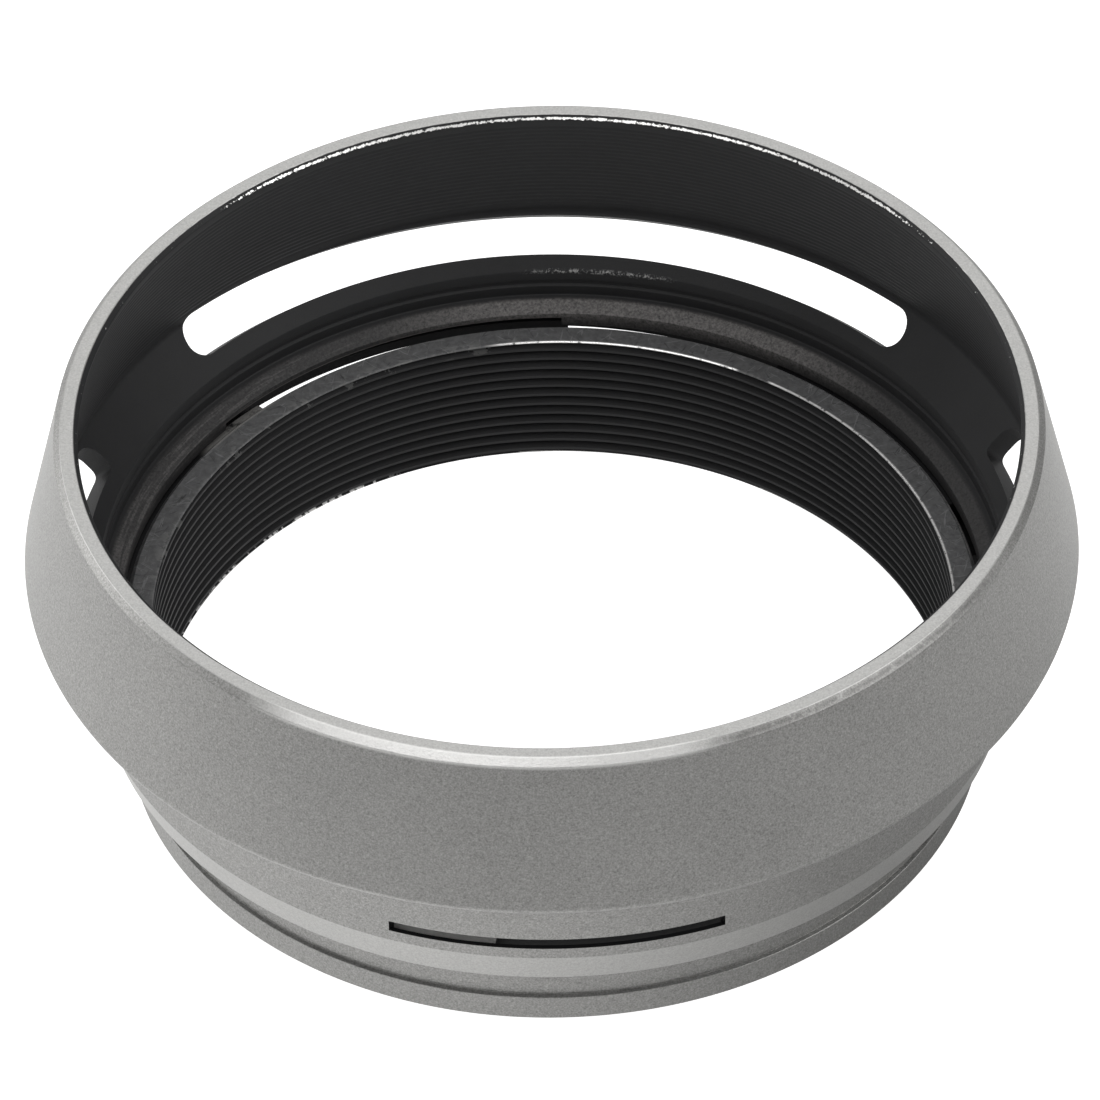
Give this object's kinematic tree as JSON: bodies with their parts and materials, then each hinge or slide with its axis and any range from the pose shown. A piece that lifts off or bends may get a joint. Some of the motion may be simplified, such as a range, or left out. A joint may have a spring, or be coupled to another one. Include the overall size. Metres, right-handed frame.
{
  "type": "lens hood",
  "caption": "Round vented lens hood with a flared shade, twist-locked on an adapter ring threaded right through for a lens behind and a filter in front.",
  "frame": {"origin": "centre of the adapter ring's rear face, which the part stands on", "axes": "+Z along the optical axis towards the front rim, -Y towards the narrow slot in the collar"},
  "size_m": [0.063, 0.063, 0.0243],
  "materials": {
    "adapter_metal": "satin silver outside, matte black anodised front face and thread",
    "hood_metal": "fine bead-blasted satin silver outside, matte black inside, bare metal where worn"
  },
  "bodies": {
    "adapter": {"adapter_ring": "adapter_metal"},
    "hood": {"lens_hood": "hood_metal"}
  },
  "joints": [
    {"name": "hood_twist", "type": "hinge", "parent": "adapter", "child": "hood", "pos_m": [0, 0, 0], "axis": [0, 0, 1], "range_deg": [0, 45]}
  ]
}
